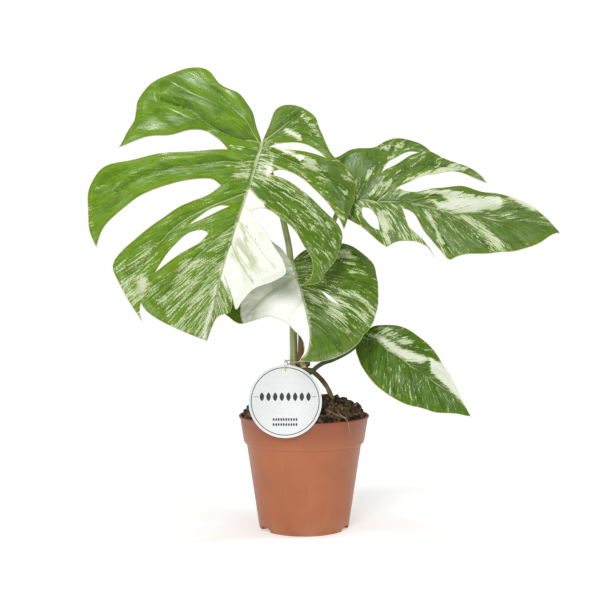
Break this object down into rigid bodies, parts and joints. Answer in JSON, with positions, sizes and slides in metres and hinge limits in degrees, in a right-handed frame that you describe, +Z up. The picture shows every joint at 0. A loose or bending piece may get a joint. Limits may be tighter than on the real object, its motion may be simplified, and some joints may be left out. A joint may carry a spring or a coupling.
{
  "type": "potted monstera plant",
  "caption": "Small potted climbing houseplant: split variegated leaves on long stalks over a round tapered nursery pot of soil, with a round card tag tied on with twine.",
  "frame": {"origin": "centre of the pot's flat underside, on the surface it stands on", "axes": "+Z up through the pot's axis; the plant's front, which its leaves face, looks along -Y; +X to the viewer's right"},
  "size_m": [0.4156, 0.204, 0.4228],
  "materials": {
    "pot_plastic": "satin moulded plastic, terracotta colour",
    "potting_soil": "loose dark peat and bark, matt",
    "leaf": "waxy leaf, green streaked with cream and white",
    "stalk": "smooth green stalk",
    "stem": "olive-brown stem and aerial root",
    "dry_husk": "thin dried brown sheath",
    "root_fibre": "rough brown root",
    "card": "matt white card, grey print",
    "twine": "twisted natural twine"
  },
  "bodies": {
    "root": {"pot": "pot_plastic", "soil": "potting_soil", "main_stem": "stem", "aerial_root": "stem", "surface_root": "root_fibre", "dried_sheath": "dry_husk", "petiole_upper_left": "stalk", "petiole_right": "stalk", "petiole_centre": "stalk", "petiole_lower_right": "stalk", "leaf_upper_left": "leaf", "leaf_right": "leaf", "leaf_centre": "leaf", "leaf_lower_right": "leaf", "tag_card": "card", "tag_string": "twine"}
  },
  "joints": []
}
